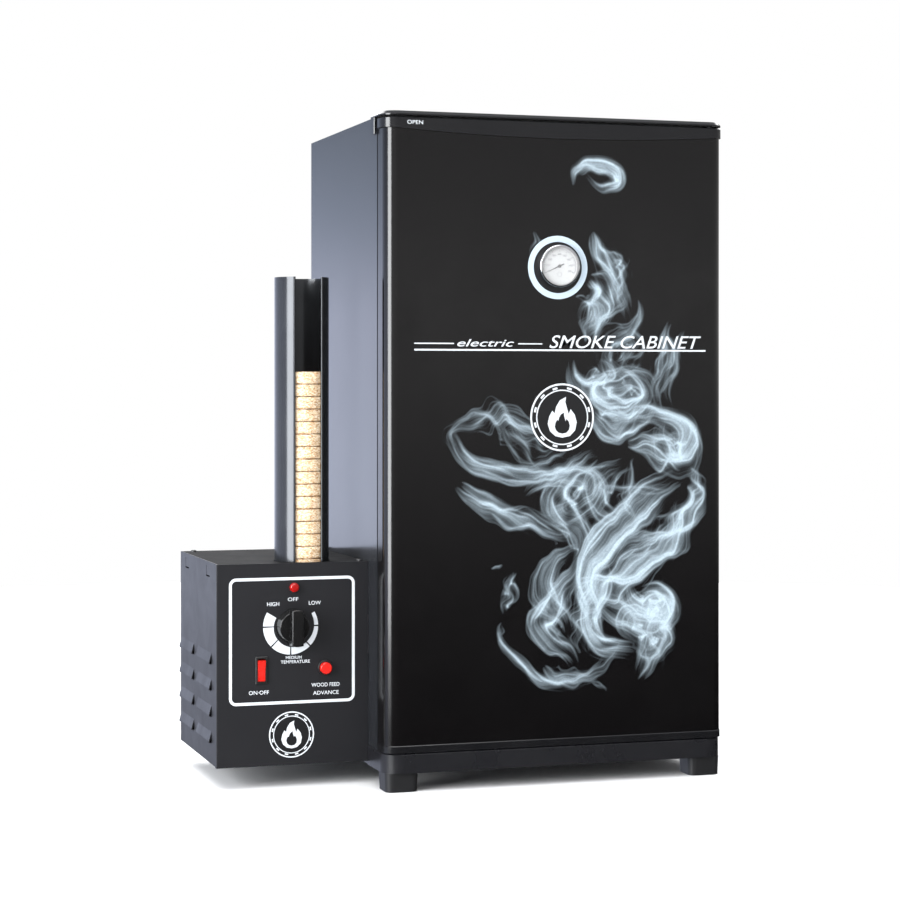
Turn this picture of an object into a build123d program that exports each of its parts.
"""Cabinet smoker with a bolt-on wood-puck smoke generator, in millimetres.

Row frame: +X to the right seen from the door, +Y to the rear, +Z up. The origin is on the floor,
under the centre of the whole object's bounding box. The door closes the front and is hinged on the right.
The smoke generator hangs on the left side of the cabinet.
"""

import os
from math import acos, cos, pi, radians, sin, sqrt, tan

from build123d import *

# ---------------------------------------------------------------- driving dimensions
cabinet_w, cabinet_d, cabinet_h = 423.0, 350.0, 787.0
generator_w, generator_d = 181.0, 223.0
generator_z0, generator_z1 = 26.0, 262.0
generator_setback = 76.0  # door front to the generator's front panel
foot_h, base_h = 22.0, 22.5
door_t, gasket_gap = 34.0, 4.0
wall_t = 24.0  # outer sheet, insulation and liner together
sheet = 1.2  # outer steel sheet
liner_t = 1.0  # inner steel sheet
trim_out = 3.5  # the top trim overhangs each side by this
louvre_out = 3.0  # the louvres stand out of the generator's side by this
dial_out = 7.0  # the thermometer stands out of the door by this
inlet_out = 12.0  # the socket housing stands out of the rear panel by this
gap = 0.3  # between neighbours that only rest near each other

# ---------------------------------------------------------------- planes of the row frame
total_w = trim_out + cabinet_w + generator_w + louvre_out
total_d = dial_out + cabinet_d + inlet_out
x_right = total_w / 2 - trim_out
x_left = x_right - cabinet_w
x_mid = (x_left + x_right) / 2
y_front = -total_d / 2 + dial_out
y_back = y_front + cabinet_d
y_case = y_front + door_t + gasket_gap  # front face of the case's face frame
z_base = foot_h + base_h  # top of the base, underside of the case
z_case = cabinet_h - 4.0  # top of the case

# cavity
in_x0, in_x1 = x_left + wall_t, x_right - wall_t
in_y0, in_y1 = y_case + sheet, y_back - wall_t
in_z0, in_z1 = z_base + wall_t, z_case - wall_t

# door
door_z0, door_z1 = z_base + 1.0, cabinet_h - 7.5
cap_bottom_h = 8.5
cap_top_z = 768.0  # lower edge of the top cap at its two ends
cap_sag = 7.8  # the cap's lower edge is that much lower at mid-width
cap_out = 3.0  # the top cap stands out of the door's sides by this
cap_lip_d = 26.0  # and does so to this depth, so that it clears the case as the door swings
skin_z0 = door_z0 + cap_bottom_h
skin_t = 1.0
pan_out = 7.0  # the liner's raised pan reaches into the cavity's mouth by this
pan_in = 7.0  # and is that much smaller than the mouth at its sides and foot
pan_top = 13.0  # and that much at its top, under the seal
corner_r = 15.0
hinge_x, hinge_y = x_right - 11.0, y_front + 15.0
hinge_pin_r = 3.0
hinge_plate_z = z_case + 2.0
running = 0.06  # radial clearance of a running fit
dial_z, dial_r = 610.0, 25.0
probe_r = 3.0

# generator
gen_x0, gen_x1 = x_left - generator_w, x_left - gap
gen_y0, gen_y1 = y_front + generator_setback, y_front + generator_setback + generator_d
puck_r, puck_t = 29.5, 14.7
tube_r, tube_wall, tube_slot_w = 32.3, 1.8, 34.0
tube_slot_off = 1.5  # the slot is turned a little towards the cabinet
tube_x, tube_y = x_left - 71.5, gen_y0 + 38.0
tube_z0, tube_z1 = 180.0, 597.5
channel_z = 162.0  # the pucks slide on this level
channel_t = 1.5
wall_y = puck_r + 1.6  # the channel's guide walls, to each side of the pucks' path
stack_z, stack_count = channel_z + puck_t + 0.5, 21
stroke = 61.0  # one puck further for each push
burner_x = tube_x + 2 * stroke + 2.0
duct_x1 = burner_x + 38.0
duct_half_y, duct_z0, duct_z1 = 37.0, channel_z - 9.0, channel_z + 37.0
pusher_z0, pusher_z1 = channel_z + 0.3, channel_z + 14.3
motor_z = channel_z + 20.0
gen_top_screws = [(gen_x1 - 8, gen_y0 + 9), (gen_x1 - 8, gen_y1 - 12), (gen_x0 + 14, gen_y1 - 12)]
gen_rear_screws = [(x, z) for x in (gen_x0 + 10, gen_x1 - 9) for z in (40.0, 144.0, 250.0)]
socket_places = [(gen_x0 + 48, 70.0), (gen_x0 + 118, 70.0)]
cabinet_socket = (x_left + 60, 92.0)

# rack and pinion of the feed
module, pinion_teeth = 1.5, 16
pitch_r = module * pinion_teeth / 2
addendum, dedendum, backlash = 1.3, 1.9, 0.3
pinion_x = x_left - 112.0
rack_tip_y = tube_y + puck_r + 0.3
rack_pitch_y = rack_tip_y - addendum
pinion_y = rack_pitch_y + pitch_r

# controls on the generator's front panel
dial_x, dial_cz = x_left - 92.0, 188.0
knob_r, knob_h = 20.0, 28.0
knob_air = 0.8  # between the knob and the panel
lamp_x, lamp_z, lamp_r = x_left - 90.0, 233.4, 5.6
rocker_x, rocker_z = x_left - 129.0, 138.0
rocker_half_w, rocker_half_h = 4.5, 12.2
rocker_pivot_y = gen_y0 + 3.5
rocker_tilt = 9.0
button_x, button_z, button_r = x_left - 52.5, 138.2, 6.9

# inside and on the cabinet
rack_levels = [290.0, 410.0, 530.0, 650.0]
rack_w, rack_d = 370.0, 268.0
rack_y0 = in_y0 + 9.0
drip_pan_z = 236.0
bowl_x, bowl_y, bowl_r, bowl_h = x_left + 132.0, tube_y + 42.0, 82.0, 52.0
element_y, element_r = in_y1 - 26.0, 3.2
foot_w = 40.0
trim_y0, trim_y1, trim_z0 = y_front - 0.6, y_front + 53.0, cabinet_h - 5.0
vent_x, vent_y, vent_r = x_mid, (in_y0 + in_y1) / 2, 30.0
vent_plate_z = z_case + 1.5

os.makedirs("parts", exist_ok=True)


# ---------------------------------------------------------------- helpers
def block(x0, x1, y0, y1, z0, z1):
    """A box between two corners."""
    centre = Pos((x0 + x1) / 2, (y0 + y1) / 2, (z0 + z1) / 2)
    return centre * Box(x1 - x0, y1 - y0, z1 - z0)


def disc_z(x, y, z0, z1, r):
    """A cylinder along Z."""
    return Pos(x, y, (z0 + z1) / 2) * Cylinder(r, z1 - z0)


def disc_y(x, z, y0, y1, r):
    """A cylinder along Y."""
    return Pos(x, (y0 + y1) / 2, z) * Rot(90, 0, 0) * Cylinder(r, y1 - y0)


def disc_x(y, z, x0, x1, r):
    """A cylinder along X."""
    return Pos((x0 + x1) / 2, y, z) * Rot(0, 90, 0) * Cylinder(r, x1 - x0)


def front_rounded(x0, x1, y0, y1, z0, z1, r):
    """A box whose two front vertical edges are rounded."""
    body = block(x0, x1, y0, y1, z0, z1)
    return fillet(body.edges().filter_by(Axis.Z).group_by(Axis.Y)[0], r)


def along_y(points, y0, y1):
    """The closed outline of (x, z) points, extruded from y0 to y1."""
    face = make_face(Polyline([(x, y0, z) for x, z in points], close=True))
    return extrude(face, amount=y1 - y0, dir=(0, 1, 0))


def along_x(points, x0, x1):
    """The closed outline of (y, z) points, extruded from x0 to x1."""
    face = make_face(Polyline([(x0, y, z) for y, z in points], close=True))
    return extrude(face, amount=x1 - x0, dir=(1, 0, 0))


def group(parts):
    """Separate solids in one node."""
    return Compound(children=[solid for part in parts for solid in part.solids()])


def screw_head(x, y, z, axis):
    """A pan head with a cross recess and a short shank; axis is the way the head faces."""
    head = Pos(0, 0, 0.9) * Cylinder(3.6, 1.8)
    head = chamfer(head.edges().group_by(Axis.Z)[-1], 0.7)
    head -= Pos(0, 0, 1.6) * (Box(4.2, 0.9, 1.2) + Box(0.9, 4.2, 1.2))
    head += Pos(0, 0, -0.45) * Cylinder(1.9, 0.9)
    turn = {"+y": Rot(-90, 0, 0), "+z": Rot(0, 0, 0), "-x": Rot(0, -90, 0)}[axis]
    return Pos(x, y, z) * turn * head


# ---------------------------------------------------------------- cabinet case
duct_hole = block(
    x_left - 5, in_x0 + 5, tube_y - duct_half_y - gap, tube_y + duct_half_y + gap,
    duct_z0 - gap, duct_z1 + gap,
)
vent_hole = disc_z(vent_x, vent_y, in_z1 - 5, cabinet_h, vent_r + 1.2 + gap)


def rear_screw_points():
    """Where screws hold the rear panel: two columns of five."""
    rows = [z_base + 20 + i * (z_case - z_base - 40) / 4 for i in range(5)]
    return [(x, z) for x in (x_left + 12, x_right - 12) for z in rows]


def side_panel(x0):
    return block(x0, x0 + sheet, y_case, y_back, z_base, z_case)


def left_side_panel():
    return side_panel(x_left) - duct_hole


def right_side_panel():
    return side_panel(x_right - sheet)


def top_panel():
    return block(x_left + sheet, x_right - sheet, y_case, y_back, z_case - sheet, z_case) - vent_hole


def rear_panel():
    panel = block(x_left + sheet, x_right - sheet, y_back - sheet, y_back, z_base, z_case - sheet)
    for x, z in rear_screw_points():
        panel -= disc_y(x, z, y_back - 3, y_back + 1, 2.0)
    return panel


def face_frame():
    """Four strips of sheet around the cavity's mouth, which the door's gasket closes on."""
    y1 = y_case + sheet
    x0, x1 = x_left + sheet, x_right - sheet
    return group([
        block(x0, in_x0, y_case, y1, z_base, z_case - sheet),
        block(in_x1, x1, y_case, y1, z_base, z_case - sheet),
        block(in_x0, in_x1, y_case, y1, z_base, in_z0),
        block(in_x0, in_x1, y_case, y1, in_z1, z_case - sheet),
    ])


def insulation():
    """Mineral-wool batts between the outer sheet and the liner, cut round the duct and the vent."""
    y0, y1 = y_case + sheet, y_back - sheet
    x0, x1 = x_left + sheet, x_right - sheet
    lx, rx = in_x0 - liner_t, in_x1 + liner_t
    top, low = in_z1 + liner_t, in_z0 - liner_t
    duct_y0, duct_y1 = tube_y - duct_half_y - gap, tube_y + duct_half_y + gap
    z0, z1 = z_base, z_case - sheet
    return group([
        block(x0, lx, y0, y1, z0, duct_z0 - gap),
        block(x0, lx, y0, y1, duct_z1 + gap, z1),
        block(x0, lx, y0, duct_y0, duct_z0 - gap, duct_z1 + gap),
        block(x0, lx, duct_y1, y1, duct_z0 - gap, duct_z1 + gap),
        block(rx, x1, y0, y1, z0, z1),
        block(lx, rx, y0, y1, top, z1) - vent_hole,
        block(lx, rx, y0, y1, z0, low),
        block(lx, rx, in_y1 + liner_t, y1, low, top),
    ])


def liner_sides():
    left = block(in_x0 - liner_t, in_x0, in_y0, in_y1 + liner_t, in_z0 - liner_t, in_z1 + liner_t)
    right = block(in_x1, in_x1 + liner_t, in_y0, in_y1 + liner_t, in_z0 - liner_t, in_z1 + liner_t)
    return group([left - duct_hole, right])


def liner_back():
    return block(in_x0, in_x1, in_y1, in_y1 + liner_t, in_z0 - liner_t, in_z1 + liner_t)


def liner_top():
    return block(in_x0, in_x1, in_y0, in_y1, in_z1, in_z1 + liner_t) - vent_hole


def liner_floor():
    return block(in_x0, in_x1, in_y0, in_y1, in_z0 - liner_t, in_z0)


def rack_rails():
    """A ledge each side for each rack and for the drip pan."""
    ledge_w, ledge_t = 9.0, 2.0
    y0, y1 = in_y0 + 4, in_y1 - 2
    rails = []
    for z in [drip_pan_z, *rack_levels]:
        rails.append(block(in_x0, in_x0 + ledge_w, y0, y1, z - ledge_t, z))
        rails.append(block(in_x1 - ledge_w, in_x1, y0, y1, z - ledge_t, z))
    return group(rails)


def wire_rack(level):
    """A chromed wire rack: a border rod, three cross bars and the long wires on top of them."""
    border_r, wire_r, wires = 2.6, 1.3, 21
    x0, x1 = x_mid - rack_w / 2 + border_r, x_mid + rack_w / 2 - border_r
    y0, y1 = rack_y0 + border_r, rack_y0 + rack_d - border_r
    z = level + border_r
    side = Polyline([(x0, y0, z), (x1, y0, z), (x1, y1, z), (x0, y1, z)], close=True)
    corners = fillet(side.vertices(), 14)
    start = Plane(origin=corners @ 0, z_dir=corners % 0)
    rack = sweep(start * Circle(border_r), path=corners)
    for i in range(3):
        y = y0 + (i + 1) * (y1 - y0) / 4
        rack += disc_x(y, z, x0, x1, 2.0)
    for i in range(wires):
        x = x0 + (i + 1) * (x1 - x0) / (wires + 1)
        rack += disc_y(x, z + 1.6, y0, y1, wire_r)
    return rack


def drip_pan():
    """A V-shaped pan over the burner: it sheds drips to a row of holes at its middle."""
    t, fall = 1.0, 22.0
    x0, x1 = in_x0 + 1.5, in_x1 - 1.5
    flange = 12.0
    z = drip_pan_z + gap
    outline = [
        (x0, z), (x0 + flange, z), (x_mid, z - fall), (x1 - flange, z), (x1, z),
        (x1, z + t), (x1 - flange, z + t), (x_mid, z - fall + t), (x0 + flange, z + t), (x0, z + t),
    ]
    pan = along_y(outline, in_y0 + 8, in_y1 - 8)
    for i in range(5):
        pan -= disc_z(x_mid, in_y0 + 40 + i * 50, z - fall - 5, z, 5.0)
    return pan


def water_bowl():
    """A pressed bowl that catches the spent pucks."""
    t, z = 1.0, in_z0 + gap
    outer = Pos(bowl_x, bowl_y, z + bowl_h / 2) * Cone(bowl_r - 14, bowl_r, bowl_h)
    outer = fillet(outer.edges().group_by(Axis.Z)[0], 8)
    inner = Pos(bowl_x, bowl_y, z + t + bowl_h / 2) * Cone(bowl_r - 15, bowl_r - 1, bowl_h)
    inner = fillet(inner.edges().group_by(Axis.Z)[0], 7)
    rim = disc_z(bowl_x, bowl_y, z + bowl_h - 1.5, z + bowl_h, bowl_r + 5)
    return outer + rim - inner


def heating_element():
    """A sheathed heater bent into a wide U, held by two terminals in the back wall."""
    z0, z1 = in_z0 + 34.0, in_z0 + 62.0
    x0, x1 = x_mid - 130.0, x_mid + 150.0
    route = FilletPolyline(
        (x1 - 25, in_y1 - 1, z1), (x1 - 25, element_y, z1), (x0, element_y, z1),
        (x0, element_y, z0), (x1, element_y, z0), (x1, in_y1 - 1, z0), radius=12,
    )
    rod = sweep(Plane(origin=route @ 0, z_dir=route % 0) * Circle(element_r), path=route)
    plate = block(x1 - 42, x1 + 17, in_y1 - 2.2, in_y1 - 0.2, z0 - 14, z1 + 14)
    return rod + plate


# ---------------------------------------------------------------- base, feet, trim, hinges
def base_plinth():
    """A moulded plinth, ribbed underneath, that carries the case and runs under the door."""
    base = front_rounded(x_left - 1, x_right + 1, y_front - 0.5, y_back, foot_h, z_base, 22.0)
    base = chamfer(base.edges().group_by(Axis.Z)[-1].filter_by(lambda e: e.center().Y < y_case), 1.2)
    across, deep, rib, skin = 6, 5, 4.0, 4.0
    margin = 6.0
    base -= block(x_left - 5, x_left, gen_y0 - 1, gen_y1 + 1, foot_h - 1, z_base + 1)
    pitch_x = (cabinet_w - 2 * margin + rib) / across
    pitch_y = (cabinet_d - 2 * margin + rib) / deep
    for i in range(across):
        for j in range(deep):
            if i in (0, across - 1) and j in (0, deep - 1):
                continue  # solid where the feet are
            x0 = x_left + margin + i * pitch_x
            y0 = y_front + margin + j * pitch_y
            base -= block(x0, x0 + pitch_x - rib, y0, y0 + pitch_y - rib, foot_h - 1, z_base - skin)
    return base - disc_z(hinge_x, hinge_y, z_base - 18, z_base + 1, hinge_pin_r)


def foot(x, y):
    """A moulded foot with rounded corners and a little draft."""
    top = Plane.XY.offset(foot_h) * Pos(x, y) * RectangleRounded(foot_w, foot_w, 9)
    sole = Plane.XY * Pos(x, y) * RectangleRounded(foot_w - 2.0, foot_w - 2.0, 8)
    body = loft([sole, top])
    return body - disc_z(x, y, -1, 14, 7.0)


def feet():
    inset = foot_w / 2 + 1.5
    across, deep = (x_left + inset, x_right - inset), (y_front + inset + 2, y_back - inset)
    places = [(x, y) for x in across for y in deep]
    return group([foot(x, y) for x, y in places])


def top_trim():
    """A moulded trim on the case's front top edge that reaches over the door, with a lug down each side."""
    x0, x1 = x_left - trim_out, x_right + trim_out
    trim = front_rounded(x0, x1, trim_y0, trim_y1, trim_z0, cabinet_h, 20.0)
    trim = chamfer(trim.edges().group_by(Axis.Z)[-1].filter_by(lambda e: e.center().Y < trim_y1 - 1), 3.4)
    trim -= block(x_left, x_right, y_case, trim_y1 + 1, trim_z0 - 1, z_case)
    for a, b in ((x0, x_left - gap), (x_right + gap, x1)):
        lug = block(a, b, y_case + 1, trim_y1, cabinet_h - 24, cabinet_h - 4)
        lug = chamfer(lug.edges().filter_by(Axis.Z), 1.0)
        trim += lug
    for_hinge = block(hinge_x - 10, hinge_x + 10, hinge_y - 10, trim_y1 + 1, trim_z0 - 1, hinge_plate_z + gap)
    return trim - for_hinge


def hinge_brackets():
    """Top: a plate on the case with a pin down into the door. Bottom: a flanged pin in the base."""
    plate = block(hinge_x - 9, hinge_x + 9, hinge_y - 8, y_case + 50, z_case, hinge_plate_z)
    plate = fillet(plate.edges().filter_by(Axis.Z), 5)
    top = plate + disc_z(hinge_x, hinge_y, door_z1 - 14, z_case, hinge_pin_r)
    bottom = disc_z(hinge_x, hinge_y, z_base - 17.5, door_z0 + 13, hinge_pin_r)
    bottom += disc_z(hinge_x, hinge_y, z_base, z_base + 0.7, 7.0)
    return group([top, bottom])


# ---------------------------------------------------------------- roof vent
def sector(r0, r1, degrees, z0, z1):
    """A plain ring sector centred on +X, as a solid for cutting windows."""
    half = radians(degrees / 2)
    inner_a, outer_a = (r0 * cos(half), r0 * sin(half)), (r1 * cos(half), r1 * sin(half))
    inner_b, outer_b = (inner_a[0], -inner_a[1]), (outer_a[0], -outer_a[1])
    rim = [
        Line(inner_b, outer_b), ThreePointArc(outer_b, (r1, 0), outer_a),
        Line(outer_a, inner_a), ThreePointArc(inner_a, (r0, 0), inner_b),
    ]
    return Pos(vent_x, vent_y, z0) * extrude(make_face(rim), amount=z1 - z0)


def vent_windows(z0, z1):
    at = Pos(vent_x, vent_y, 0)
    cutter = sector(9, 25, 56, z0, z1)
    return [at * Rot(0, 0, 120 * i) * at.inverse() * cutter for i in range(3)]


def vent_collar():
    """A flanged throat through the roof, closed by a plate with three windows."""
    collar = disc_z(vent_x, vent_y, z_case, vent_plate_z, 44.0)
    collar = fillet(collar.edges().group_by(Axis.Z)[-1], 0.6)
    collar += disc_z(vent_x, vent_y, in_z1 - 2, z_case, vent_r + 1.2)
    collar -= disc_z(vent_x, vent_y, in_z1 - 3, z_case, vent_r)
    for window in vent_windows(z_case - 1, vent_plate_z + 1):
        collar -= window
    return collar - disc_z(vent_x, vent_y, z_case - 1, cabinet_h, 3.0 + running)


def vent_damper():
    """The turning disc over the windows, with its rivet and thumb tab."""
    z = vent_plate_z + 0.2
    disc = disc_z(vent_x, vent_y, z, z + 1.0, 29.0)
    for window in vent_windows(z - 1, z + 2):
        disc -= window
    disc += block(vent_x + 22, vent_x + 34, vent_y + 14, vent_y + 22, z, z + 1.0)
    disc += disc_z(vent_x, vent_y, z, z + 1.6, 5.0)
    return disc + disc_z(vent_x, vent_y, z_case - 1, z, 3.0)


# ---------------------------------------------------------------- door
def cap_edge(offset):
    """The region under the top cap's curved lower edge, moved down by offset, through the door."""
    z = cap_top_z - offset
    y = y_front - 20
    edge = ThreePointArc((x_left - 20, y, z + 1.55), (x_mid, y, z - cap_sag), (x_right + 20, y, z + 1.55))
    low = Polyline([
        (x_right + 20, y, z + 1.55), (x_right + 20, y, 0), (x_left - 20, y, 0), (x_left - 20, y, z + 1.55),
    ])
    face = make_face([*edge.edges(), *low.edges()])
    return extrude(face, amount=120, dir=(0, 1, 0))


def door_skin():
    """The painted front sheet, bent round both vertical edges."""
    skin = front_rounded(x_left, x_right, y_front, y_front + door_t, skin_z0, door_z1, corner_r)
    skin -= front_rounded(
        x_left + skin_t, x_right - skin_t, y_front + skin_t, y_front + door_t + 1,
        skin_z0 - 1, door_z1 + 1, corner_r - skin_t,
    )
    skin &= cap_edge(0.5)
    return skin - disc_y(x_mid, dial_z, y_front - 1, y_front + 5, probe_r + gap)


def pan_block(inset, y1):
    return block(
        in_x0 + pan_in + inset, in_x1 - pan_in - inset, y_front + 20, y1,
        in_z0 + pan_in + inset, in_z1 - pan_top - inset,
    )


def door_foam():
    """The insulating core between skin and liner."""
    y1 = y_front + door_t - liner_t
    core = front_rounded(
        x_left + skin_t, x_right - skin_t, y_front + skin_t, y1, skin_z0, door_z1, corner_r - skin_t,
    )
    core += pan_block(liner_t, y_front + door_t + pan_out - liner_t)
    core &= cap_edge(0.5)
    core -= disc_z(hinge_x, hinge_y, skin_z0 - 1, skin_z0 + 10, hinge_pin_r + 1)
    core -= disc_z(hinge_x, hinge_y, cap_top_z - 14, door_z1 + 1, 8.0)
    return core - disc_y(x_mid, dial_z, y_front - 1, y_case + 40, probe_r + gap)


def door_liner():
    """The inner sheet, with a raised pan that fills the cavity's mouth."""
    y0, y1 = y_front + door_t - liner_t, y_front + door_t
    liner = block(x_left + skin_t, x_right - skin_t, y0, y1, skin_z0, door_z1)
    pan = pan_block(0, y1 + pan_out)
    pan = chamfer(pan.edges().group_by(Axis.Y)[-1], 0.6 * liner_t)
    hollow = pan_block(liner_t, y1 + pan_out - liner_t)
    liner = liner + (pan - block(-400, 400, -400, y0, 0, 900)) - hollow
    liner &= cap_edge(0.5)
    return liner - disc_y(x_mid, dial_z, y0 - 1, y1 + pan_out + 1, probe_r + gap)


def door_gasket():
    """A magnetic seal strip round the liner, just clear of the face frame."""
    y0, y1 = y_front + door_t, y_case - gap
    out, strip = 10.0, 9.0
    z0, z1 = z_base + 12.0, cap_top_z - cap_sag - 1.5
    ring = block(x_left + out, x_right - out, y0, y1, z0, z1)
    ring -= block(x_left + out + strip, x_right - out - strip, y0 - 1, y1 + 1, z0 + strip, z1 - strip)
    return chamfer(ring.edges().group_by(Axis.Y)[-1], 0.8)


def door_bottom_cap():
    """The moulded lower cap, a little proud of the skin, with the lower hinge bush."""
    proud = 0.8
    cap = front_rounded(
        x_left - proud, x_right + proud, y_front - proud, y_front + door_t - 0.2,
        door_z0, skin_z0, corner_r + proud,
    )
    upper = cap.edges().group_by(Axis.Z)[-1]
    cap = chamfer(upper.filter_by(lambda e: e.center().Y < y_front + door_t - 1), proud)
    boss = disc_z(hinge_x, hinge_y, door_z0, skin_z0 + 8, hinge_pin_r + 1)
    cap = cap + boss
    return cap - disc_z(hinge_x, hinge_y, door_z0 - 1, skin_z0 + 9, hinge_pin_r + running)


def door_top_cap():
    """The moulded upper cap with its curved lower edge and the upper hinge bush."""
    lip_y1 = y_front + cap_lip_d
    cap = front_rounded(
        x_left - cap_out, x_right + cap_out, y_front - 0.4, lip_y1, 740, door_z1, corner_r + cap_out,
    )
    cap = chamfer(cap.edges().group_by(Axis.Z)[-1].filter_by(lambda e: e.center().Y < lip_y1 - 1), 0.8)
    cap += block(x_left, x_right, lip_y1, y_front + door_t, 740, door_z1)
    cap = cap - cap_edge(0.0)
    cap += disc_z(hinge_x, hinge_y, cap_top_z - 12, cap_top_z + 2, 7.6)
    return cap - disc_z(hinge_x, hinge_y, cap_top_z - 6, door_z1 + 1, hinge_pin_r + running)


def thermometer_case():
    """A chromed cup with a rolled bezel that sits on the door's front."""
    y0 = y_front - dial_out
    case = disc_y(x_mid, dial_z, y0, y_front, dial_r)
    case = fillet(case.edges().group_by(Axis.Y)[0], 1.8)
    case -= disc_y(x_mid, dial_z, y0 - 1, y0 + 1.0, dial_r - 3.0)
    case -= disc_y(x_mid, dial_z, y0 + 0.5, y_front - 1.2, dial_r - 2.2)
    return case - disc_y(x_mid, dial_z, y0, y_front + 1, probe_r)


def thermometer_dial():
    return disc_y(x_mid, dial_z, y_front - 3.2, y_front - 2.7, dial_r - 2.4) - disc_y(
        x_mid, dial_z, y_front - 4, y_front, 1.6
    )


def thermometer_lens():
    return disc_y(x_mid, dial_z, y_front - 6.3, y_front - 5.3, dial_r - 2.3)


def thermometer_probe():
    """The stem through the door and the hexagon nut that clamps it inside."""
    tip = y_case + 52
    stem = disc_y(x_mid, dial_z, y_front - 2.6, tip, probe_r)
    stem = fillet(stem.edges().group_by(Axis.Y)[-1], 2.0)
    hexagon = Pos(x_mid, y_front + door_t + pan_out, dial_z) * Rot(90, 0, 0) * RegularPolygon(8, 6)
    return stem + extrude(hexagon, amount=4, dir=(0, 1, 0))


def thermometer_needle():
    """The pointer, at rest near the cold end of its scale."""
    length, tail = 17.0, 6.0
    y0, y1 = y_front - 4.2, y_front - 3.8
    blade = along_y([(-length, 0.0), (0, -0.9), (tail, -0.6), (tail, 0.6), (0, 0.9)], y0, y1)
    hub = disc_y(0, 0, y_front - 4.8, y_front - 3.6, 2.0)
    return Pos(x_mid, 0, dial_z) * (Rot(0, -24, 0) * (blade + hub))


# ---------------------------------------------------------------- smoke generator housing
def rocker_cut():
    return block(rocker_x - 6.1, rocker_x + 6.1, gen_y0 - 5, gen_y0 + 5, rocker_z - 14.7, rocker_z + 14.7)


def gen_front_panel():
    """The control panel, with a bent return down its left edge."""
    panel = block(gen_x0 - sheet, gen_x1, gen_y0, gen_y0 + sheet, generator_z0, generator_z1)
    lip = block(gen_x0 - sheet, gen_x0, gen_y0, gen_y0 + 7, generator_z0, generator_z1)
    panel += lip - block(gen_x0 - 5, gen_x0 + 1, gen_y0 + sheet, gen_y0 + 8, 241, 243.5)
    panel = fillet(panel.edges().filter_by(Axis.Z).sort_by(lambda e: e.center().X + e.center().Y)[0], 1.0)
    panel -= rocker_cut()
    panel -= disc_y(dial_x, dial_cz, gen_y0 - 1, gen_y0 + 3, 4.0)
    panel -= disc_y(lamp_x, lamp_z, gen_y0 - 1, gen_y0 + 3, lamp_r - 1.0)
    return panel - disc_y(button_x, button_z, gen_y0 - 1, gen_y0 + 3, button_r + 1.2)


def louvre(y, z):
    """(outer, hollow) solids of one lanced louvre with open ends, whose top edge is at z."""
    half, tall, out = 39.0, 13.0, louvre_out
    skin = [(gen_x0 + sheet, z), (gen_x0, z), (gen_x0 - out, z - tall + 2), (gen_x0 - out, z - tall),
            (gen_x0 + sheet, z - tall)]
    inside = [(gen_x0 + sheet + 1, z - 2.2), (gen_x0 + 0.4, z - 2.2), (gen_x0 - out + sheet, z - tall + 1.6),
              (gen_x0 - out + sheet, z - tall - 1), (gen_x0 + sheet + 1, z - tall - 1)]
    outer = along_y(skin, y - half, y + half)
    hollow = along_y(inside, y - half - 1, y + half + 1)
    return outer, hollow


def gen_side_cover():
    """The left cover sheet: eight louvres for cooling air and two lanced tabs near its top."""
    cover = block(gen_x0, gen_x0 + sheet, gen_y0 + sheet, gen_y1, generator_z0, generator_z1)
    for y in (gen_y0 + 74.0, gen_y0 + 178.0):
        for row in range(4):
            outer, hollow = louvre(y, 156.0 - 30.8 * row)
            cover = cover + outer - hollow
    for y in (gen_y0 + 63.0, gen_y0 + 189.0):
        cover -= block(gen_x0 - 1, gen_x0 + 2, y, y + 1.8, 244.0, 257.0)
        cover -= block(gen_x0 - 1, gen_x0 + 2, y - 18, y, 244.0, 245.8)
    return cover


def gen_top_plate():
    plate = block(gen_x0 + sheet, gen_x1, gen_y0 + sheet, gen_y1 - sheet, generator_z1 - sheet, generator_z1)
    plate -= disc_z(tube_x, tube_y, generator_z1 - 5, generator_z1 + 5, tube_r + 1.0)
    for x, y in gen_top_screws:
        plate -= disc_z(x, y, generator_z1 - 3, generator_z1 + 1, 2.0)
    return plate


def gen_rear_panel():
    panel = block(gen_x0 + sheet, gen_x1, gen_y1 - sheet, gen_y1, generator_z0 + sheet, generator_z1 - sheet)
    for x, z in socket_places:
        panel -= block(x - 14.2, x + 14.2, gen_y1 - 3, gen_y1 + 1, z - 10.2, z + 10.2)
    for x, z in gen_rear_screws:
        panel -= disc_y(x, z, gen_y1 - 3, gen_y1 + 1, 2.0)
    return panel


def gen_chassis():
    """The floor and the inner side, bent from one sheet; the inner side hangs on the cabinet."""
    y0, y1 = gen_y0 + sheet, gen_y1 - sheet
    floor = block(gen_x0 + sheet, gen_x1, y0, y1, generator_z0, generator_z0 + sheet)
    side = block(gen_x1 - sheet, gen_x1, y0, y1, generator_z0, generator_z1 - sheet)
    return floor + side - block(
        gen_x1 - 5, gen_x1 + 5, tube_y - duct_half_y + sheet, tube_y + duct_half_y - sheet,
        duct_z0 + sheet, duct_z1 - sheet,
    )


def socket(x, y, z):
    """An appliance inlet: a flanged housing with three pins; its mouth faces +Y at y."""
    body = block(x - 14, x + 14, y - 14, y, z - 10, z + 10)
    body = chamfer(body.edges().filter_by(Axis.Y).group_by(Axis.Z)[-1], 4)
    flange = block(x - 19, x + 19, y - 2, y, z - 13, z + 13)
    flange = fillet(flange.edges().filter_by(Axis.Y), 3)
    body = body + flange
    body -= chamfer(
        block(x - 12, x + 12, y - 12, y + 1, z - 8, z + 8).edges().filter_by(Axis.Y).group_by(Axis.Z)[-1], 3.4
    )
    for dx, dz in ((-7, -2), (7, -2), (0, 2)):
        body += block(x + dx - 1, x + dx + 1, y - 13, y - 3, z + dz - 2, z + dz + 2)
    return body


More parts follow.
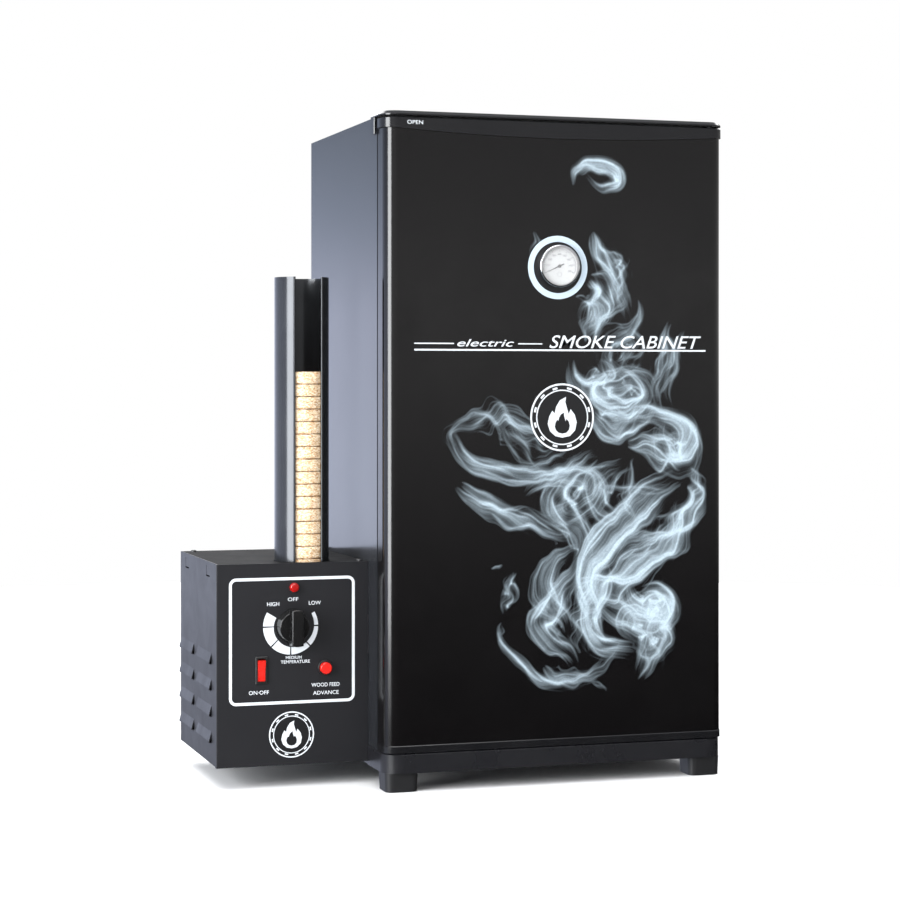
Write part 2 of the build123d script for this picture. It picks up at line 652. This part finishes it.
def power_inlets():
    """Two on the generator, mains in and cabinet feed out, and one on the cabinet in a screwed-on box."""
    inlets = [socket(x, gen_y1 + 2, z) for x, z in socket_places]
    x, z = cabinet_socket
    housing = block(x - 30, x + 30, y_back, y_back + inlet_out, z - 24, z + 24)
    housing = fillet(housing.edges().filter_by(Axis.Y), 4)
    housing = chamfer(housing.edges().group_by(Axis.Y)[-1], 1.5)
    housing -= block(x - 12, x + 12, y_back + 1.5, y_back + inlet_out + 1, z - 8, z + 8)
    for dx, dz in ((-7, -2), (7, -2), (0, 3)):
        housing += block(x + dx - 1, x + dx + 1, y_back + 1, y_back + 9, z + dz - 2, z + dz + 2)
    return group([*inlets, housing])


def screws():
    heads = [screw_head(x, y_back, z, "+y") for x, z in rear_screw_points()]
    heads += [screw_head(x, y, generator_z1, "+z") for x, y in gen_top_screws]
    heads += [screw_head(x, gen_y1, z, "+y") for x, z in gen_rear_screws]
    return group(heads)


def hanger_bars():
    """Two flat bars on the generator's back that take its weight: each hooks over a slot in its side."""
    return group([
        block(gen_x1 - sheet - 3, gen_x1 - sheet, y, y + 14, 196, 246) for y in (gen_y0 + 92, gen_y0 + 190)
    ])


# ---------------------------------------------------------------- puck hopper and feed
def hopper_tube():
    """The feed tube: a round extrusion, open down its front so that the pucks can be seen."""
    tube = disc_z(tube_x, tube_y, tube_z0, tube_z1, tube_r)
    tube -= disc_z(tube_x, tube_y, tube_z0 - 1, tube_z1 + 1, tube_r - tube_wall)
    edges = tube_slot_off - tube_slot_w / 2, tube_slot_off + tube_slot_w / 2
    tube -= block(tube_x + edges[0], tube_x + edges[1], tube_y - tube_r - 5, tube_y, tube_z0 - 1, tube_z1 + 1)
    # rolled lips along both edges of the slot
    for across in edges:
        lip_y = tube_y - sqrt((tube_r - tube_wall / 2) ** 2 - across**2)
        tube += disc_z(tube_x + across, lip_y, tube_z0, tube_z1, 1.5)
    return tube


def puck(x, y, z):
    """One pressed sawdust disc."""
    body = disc_z(x, y, z, z + puck_t, puck_r)
    return chamfer(body.edges().filter_by(GeomType.CIRCLE), 0.9)


def wood_pucks():
    return group([puck(tube_x, tube_y, stack_z + i * puck_t) for i in range(stack_count)])


def fed_puck():
    return puck(tube_x, tube_y, channel_z + 0.2)


def feed_channel():
    """The floor that the pucks slide along, its two guide walls, and two legs to the generator's floor."""
    z0, z1 = channel_z - channel_t, stack_z - 2.0
    floor = block(gen_x0 + sheet + 1, burner_x - 34, tube_y - wall_y - 3, tube_y + wall_y + 3, z0, channel_z)
    floor += block(gen_x0 + sheet + 1, pinion_x + 30, tube_y + wall_y, pinion_y + 30, z0, channel_z)
    floor += block(gen_x0 + sheet + 1, burner_x - 34, tube_y - wall_y - channel_t, tube_y - wall_y, z0, z1)
    floor += block(tube_x - 27, burner_x - 34, tube_y + wall_y, tube_y + wall_y + channel_t, z0, z1)
    for x in (gen_x0 + 20, gen_x1 - 20):
        floor += block(x, x + 12, tube_y - wall_y - 3, tube_y - wall_y - 1, generator_z0 + sheet, z0)
        floor += block(x, x + 12, pinion_y + 10, pinion_y + 12, generator_z0 + sheet, z0)
        floor += block(x, x + 12, tube_y - wall_y - 3, pinion_y + 12, z0 - 1.5, z0)
    return floor - disc_z(pinion_x, pinion_y, z0 - 3, channel_z + 1, 3.0 + running)


def burner_plate():
    """The hot plate that chars each puck, with its sheathed heater underneath."""
    x0, x1 = burner_x - 33, burner_x + 33
    z = channel_z - 0.3
    plate = block(x0, x1, tube_y - 31, tube_y + 31, z - 4, z)
    plate = fillet(plate.edges().filter_by(Axis.Z), 3)
    for y in (tube_y - 16, tube_y + 16):
        plate += disc_x(y, z - 4.6, x0 - 6, x1 - 4, 2.4)
    return plate


def smoke_duct():
    """The folded duct that carries the burner through the cabinet's wall; smoke leaves at its open end."""
    x0 = gen_x1
    y0, y1 = tube_y - duct_half_y, tube_y + duct_half_y
    duct = block(x0, duct_x1, y0, y1, duct_z0, duct_z1)
    duct -= block(x0 - 1, duct_x1 + 1, y0 + sheet, y1 - sheet, duct_z0 + sheet, duct_z1 - sheet)
    return duct


def rack_tooth(x):
    """The space between two rack teeth, as a cutter, centred on x."""
    slope = tan(radians(20))
    half = module * pi / 4 + backlash / 4
    top = half + addendum * slope
    low = half - (dedendum - 0.1) * slope
    z0, z1 = pusher_z0, pusher_z1
    tip, root = rack_tip_y + 0.01, rack_pitch_y - dedendum + 0.1
    face = make_face(Polyline([(x - top, tip, z0), (x + top, tip, z0), (x + low, root, z0), (x - low, root, z0)],
                              close=True))
    return extrude(face, amount=z1 - z0, dir=(0, 0, 1))


def pusher():
    """The slide that pushes the lowest puck: a hollow-fronted plate with rack teeth down its rear edge."""
    x1 = tube_x - puck_r - 0.3
    x0 = gen_x0 + sheet + 1.5
    z0, z1 = pusher_z0, pusher_z1
    plate = block(x0, x1, tube_y - puck_r, rack_tip_y, z0, z1)
    plate -= block(x0 + 8, x1 - 8, tube_y - puck_r + 8, rack_tip_y - 10, z0 + 3, z1 + 1)
    pitch = module * pi
    # a tooth space is centred on the pinion's axis at rest
    for i in range(-14, 3):
        x = pinion_x + i * pitch
        if x0 - 3 < x < x1 - 2:
            plate -= rack_tooth(x)
    return plate


def involute_flank(base_r, r0, r1, steps=5):
    """(radius, angle) pairs up an involute of base_r from r0 to r1."""
    flank = []
    for i in range(steps):
        r = r0 + (r1 - r0) * i / (steps - 1)
        t = sqrt(max(0.0, (r / base_r) ** 2 - 1))
        flank.append((r, t - acos(1 / sqrt(1 + t * t))))
    return flank


def drive_pinion():
    """A sixteen-tooth spur pinion on the gear motor's shaft, one tooth pointing at the rack."""
    pressure = radians(20)
    base_r = pitch_r * cos(pressure)
    root_r, tip_r = pitch_r - dedendum, pitch_r + addendum
    flank = involute_flank(base_r, base_r, tip_r)
    at_pitch = tan(pressure) - pressure
    half = (module * pi / 2 - backlash / 2) / 2 / pitch_r
    points = []
    for i in range(pinion_teeth):
        middle = -pi / 2 + 2 * pi * i / pinion_teeth
        rising = [(root_r, middle - half - at_pitch)] + [(r, middle - half - at_pitch + a) for r, a in flank]
        falling = [(r, 2 * middle - a) for r, a in reversed(rising)]
        points += [(r * cos(a), r * sin(a)) for r, a in rising + falling]
    z0, z1 = channel_z + 1.0, channel_z + 13.0
    gear = extrude(make_face(Polyline(points, close=True)), amount=z1 - z0)
    gear = Pos(pinion_x, pinion_y, z0) * gear
    return gear + disc_z(pinion_x, pinion_y, channel_z - channel_t - 3, motor_z - 1, 3.0)


def feed_motor():
    """The gear motor over the pinion, on a plate with two posts."""
    plate = block(pinion_x - 30, pinion_x + 18, pinion_y + 2, pinion_y + 28, motor_z, motor_z + 2)
    body = disc_z(pinion_x, pinion_y, motor_z, motor_z + 16, 21.0)
    body += disc_z(pinion_x, pinion_y, motor_z + 16, motor_z + 46, 17.0)
    motor = body + plate
    for x in (pinion_x - 25, pinion_x + 13):
        motor += disc_z(x, pinion_y + 23, channel_z, motor_z, 3.0)
    return motor - disc_z(pinion_x, pinion_y, motor_z - 2, motor_z + 6, 3.0 + running)


# ---------------------------------------------------------------- controls
def control_knob():
    """A tapered skirt with a tall grip bar across it, on its shaft; the bar points up at off."""
    y1 = gen_y0 - knob_air
    skirt_h = 13.0
    skirt = Pos(dial_x, y1 - skirt_h / 2, dial_cz) * Rot(90, 0, 0) * Cone(knob_r, knob_r - 2.4, skirt_h)
    skirt = fillet(skirt.edges().group_by(Axis.Y)[0], 1.6)
    bar = block(dial_x - 6.8, dial_x + 6.8, y1 - knob_h, y1 - 3, dial_cz - 30, dial_cz + 30)
    bar &= disc_y(dial_x, dial_cz, y1 - knob_h - 2, y1, knob_r + 1.5)
    bar = fillet(bar.edges().group_by(Axis.Y)[0], 1.6)
    shaft = disc_y(dial_x, dial_cz, y1 - 2, gen_y0 + 6, 3.0)
    return skirt + bar + shaft


def heat_regulator():
    """The flat rotary control behind the knob, thin enough to pass in front of the pucks."""
    y0, y1 = gen_y0 + sheet, gen_y0 + 7.6
    body = block(dial_x - 14, dial_x + 12, y0, y1, dial_cz - 12, dial_cz + 12)
    body = fillet(body.edges().filter_by(Axis.Y), 2)
    for dz in (-6, 0, 6):
        body += block(dial_x - 22, dial_x - 13, y1 - 2, y1 - 1, dial_cz + dz - 1.5, dial_cz + dz + 1.5)
    return body - disc_y(dial_x, dial_cz, y0 - 1, y1 + 1, 3.0 + running)


def rocker_frame():
    """The switch body: a flange on the panel and a box behind it, pocketed for the rocker."""
    flange = block(rocker_x - 7.2, rocker_x + 7.2, gen_y0 - 1.8, gen_y0, rocker_z - 15.8, rocker_z + 15.8)
    flange = chamfer(flange.edges().group_by(Axis.Y)[0], 0.6)
    body = block(rocker_x - 6, rocker_x + 6, gen_y0 - 0.5, gen_y0 + 22, rocker_z - 14.6, rocker_z + 14.6)
    frame = flange + body
    frame -= block(rocker_x - 4.8, rocker_x + 4.8, gen_y0 - 3, gen_y0 + 9.5, rocker_z - 13.6, rocker_z + 13.6)
    return frame - disc_x(rocker_pivot_y, rocker_z, rocker_x - 5.7, rocker_x + 5.7, 1.4 + running)


def rocker():
    """The red rocker, tilted to its off side, with its two pivot pins."""
    h = rocker_half_h
    outline = [(-6.2, h), (-4.6, 0), (-6.2, -h), (-1.0, -h), (2.6, 0), (-1.0, h)]
    body = along_x([(y, z) for y, z in outline], -rocker_half_w, rocker_half_w)
    body += disc_x(0, 0, -5.5, 5.5, 1.4)
    return Pos(rocker_x, rocker_pivot_y, rocker_z) * (Rot(rocker_tilt, 0, 0) * body)


def button_frame():
    """The push switch: a bezel on the panel, a barrel behind it."""
    flange = disc_y(button_x, button_z, gen_y0 - 1.8, gen_y0, button_r + 1.9)
    flange = fillet(flange.edges().group_by(Axis.Y)[0], 0.8)
    barrel = disc_y(button_x, button_z, gen_y0 - 0.5, gen_y0 + 18, button_r + 1.1)
    return flange + barrel - disc_y(button_x, button_z, gen_y0 - 3, gen_y0 + 15, button_r + 0.25)


def advance_button():
    """The red push button, sprung out by 3 mm."""
    button = disc_y(button_x, button_z, gen_y0 - 7.5, gen_y0 + 10, button_r)
    return fillet(button.edges().group_by(Axis.Y)[0], 1.6)


def indicator_lamp():
    """A red lens on the panel with its short body behind."""
    lens = disc_y(lamp_x, lamp_z, gen_y0 - 5.5, gen_y0, lamp_r)
    lens = fillet(lens.edges().group_by(Axis.Y)[0], 3.2)
    return lens + disc_y(lamp_x, lamp_z, gen_y0 - 1, gen_y0 + 5, lamp_r - 1.1)


def control_board():
    """The feed timer's circuit board, on edge at the rear, with its relay and transformer."""
    x0, x1 = gen_x0 + 14, gen_x0 + 104
    y = gen_y1 - 34
    board = block(x0, x1, y, y + 1.6, 152, 232)
    board += block(x0 + 8, x0 + 28, y - 16, y, 160, 186)
    board += block(x0 + 40, x0 + 78, y - 26, y, 186, 218)
    for x, z in ((x0 + 4, 156), (x1 - 4, 156), (x0 + 4, 228), (x1 - 4, 228)):
        board += disc_y(x, z, y + 1.6, gen_y1 - sheet, 2.5)
    return board


# ---------------------------------------------------------------- write every node
nodes = {
    "left_side_panel": left_side_panel, "right_side_panel": right_side_panel, "top_panel": top_panel,
    "rear_panel": rear_panel, "face_frame": face_frame, "insulation": insulation,
    "liner_sides": liner_sides, "liner_back": liner_back, "liner_top": liner_top,
    "liner_floor": liner_floor, "rack_rails": rack_rails, "drip_pan": drip_pan,
    "water_bowl": water_bowl, "heating_element": heating_element, "base_plinth": base_plinth,
    "feet": feet, "top_trim": top_trim, "hinge_brackets": hinge_brackets,
    "vent_collar": vent_collar, "vent_damper": vent_damper,
    "door_skin": door_skin, "door_foam": door_foam, "door_liner": door_liner,
    "door_gasket": door_gasket, "door_bottom_cap": door_bottom_cap, "door_top_cap": door_top_cap,
    "thermometer_case": thermometer_case, "thermometer_dial": thermometer_dial,
    "thermometer_lens": thermometer_lens, "thermometer_probe": thermometer_probe,
    "thermometer_needle": thermometer_needle,
    "gen_front_panel": gen_front_panel, "gen_side_cover": gen_side_cover,
    "gen_top_plate": gen_top_plate, "gen_rear_panel": gen_rear_panel, "gen_chassis": gen_chassis,
    "hanger_bars": hanger_bars, "power_inlets": power_inlets, "screws": screws,
    "hopper_tube": hopper_tube, "wood_pucks": wood_pucks, "fed_puck": fed_puck,
    "feed_channel": feed_channel, "burner_plate": burner_plate, "smoke_duct": smoke_duct,
    "pusher": pusher, "drive_pinion": drive_pinion, "feed_motor": feed_motor,
    "control_knob": control_knob, "heat_regulator": heat_regulator,
    "rocker_frame": rocker_frame, "rocker": rocker, "button_frame": button_frame,
    "advance_button": advance_button, "indicator_lamp": indicator_lamp, "control_board": control_board,
}

for name, make in nodes.items():
    export_step(make(), f"parts/{name}.step")

one_rack = wire_rack(0.0)
for number, level in enumerate(rack_levels, start=1):
    export_step(Pos(0, 0, level + gap) * one_rack, f"parts/rack_{number}.step")
